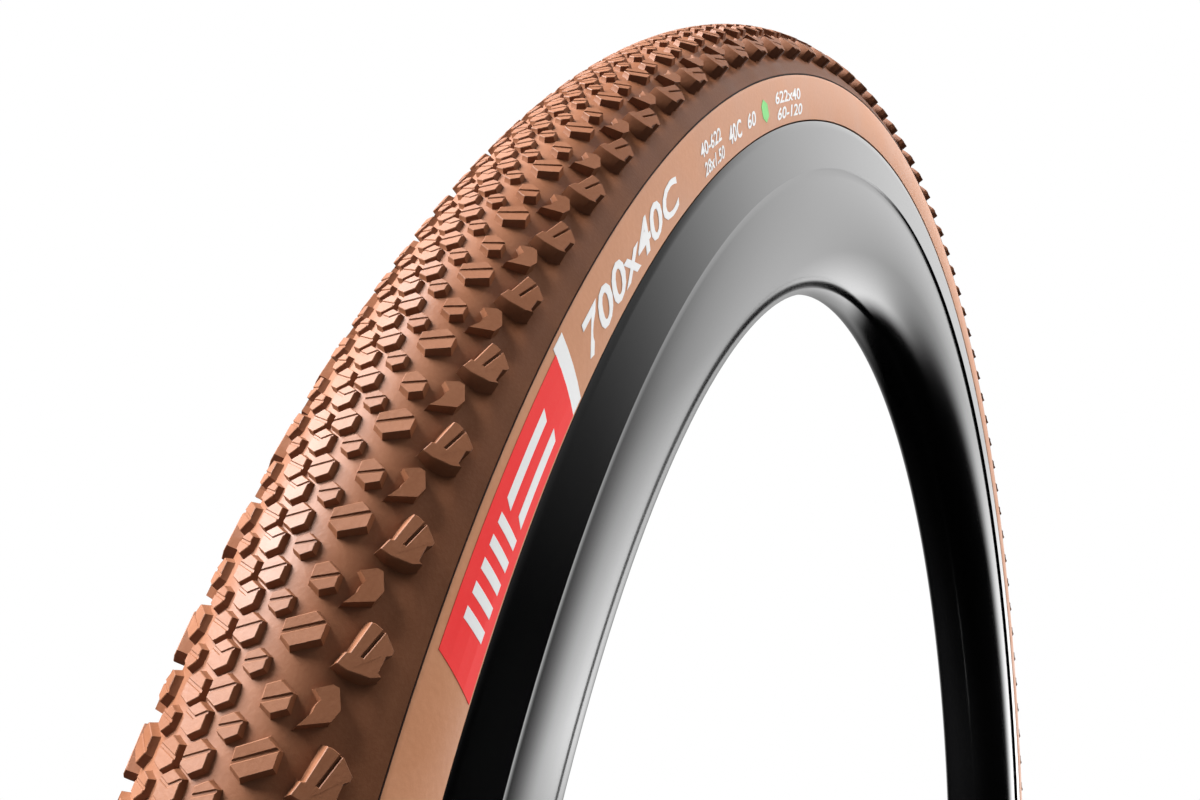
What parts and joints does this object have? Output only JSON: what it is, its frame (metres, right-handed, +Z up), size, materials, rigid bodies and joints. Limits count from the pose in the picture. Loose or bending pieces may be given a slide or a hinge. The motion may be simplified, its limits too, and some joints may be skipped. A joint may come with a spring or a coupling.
{
  "type": "bicycle tire",
  "caption": "Tubeless gravel tyre with a knobbed tread and tan sidewalls, seated on a deep rim with tape and a capped valve.",
  "frame": {"origin": "centre of the wheel, on its axis and in its mid-plane", "axes": "+Y along the wheel's axis, +Z up, +X level; the valve is at the bottom and the left side is -Y"},
  "size_m": [0.6937, 0.04, 0.6938],
  "materials": {
    "tread_rubber": "matt moulded brown rubber",
    "belt_fabric": "woven",
    "casing_cord": "rubber-coated cord",
    "tan_rubber": "satin tan rubber",
    "red_print": "satin print",
    "white_print": "satin print",
    "bead_cord": "aramid cord",
    "black_rubber": "matt",
    "rim_carbon": "gloss lacquered carbon laminate",
    "tape_film": "adhesive film",
    "black_aluminium": "black anodised",
    "brass": "turned",
    "cap_plastic": "moulded"
  },
  "bodies": {
    "wheel": {"tread_cap": "tread_rubber", "puncture_belt": "belt_fabric", "casing": "casing_cord", "sidewall_left": "tan_rubber", "sidewall_right": "tan_rubber", "label_panel_left": "red_print", "label_panel_right": "red_print", "size_mark_left": "white_print", "size_mark_right": "white_print", "bead_core_left": "bead_cord", "bead_core_right": "bead_cord", "bead_rubber_left": "black_rubber", "bead_rubber_right": "black_rubber", "rim": "rim_carbon", "rim_tape": "tape_film", "valve_foot": "black_rubber", "valve_stem": "black_aluminium", "valve_seal_ring": "black_rubber", "valve_core_body": "brass"},
    "rim_nut": {"valve_rim_nut": "black_aluminium"},
    "core_pin": {"valve_core_pin": "brass", "valve_core_seal": "black_rubber"},
    "core_nut": {"valve_core_nut": "brass"},
    "cap": {"valve_cap": "cap_plastic"}
  },
  "joints": [
    {"name": "rim_nut_unscrew", "type": "slide", "parent": "wheel", "child": "rim_nut", "axis": [0, 0, 1], "range_m": [0, 0.01]},
    {"name": "core_pin_press", "type": "slide", "parent": "wheel", "child": "core_pin", "axis": [0, 0, -1], "range_m": [0, 0.002], "stiffness_N_per_m": 200},
    {"name": "core_nut_turn", "type": "hinge", "parent": "core_pin", "child": "core_nut", "pos_m": [0, 0, -0.2318], "axis": [0, 0, 1], "continuous": true},
    {"name": "cap_pull", "type": "slide", "parent": "wheel", "child": "cap", "axis": [0, 0, 1], "range_m": [0, 0.02]}
  ]
}
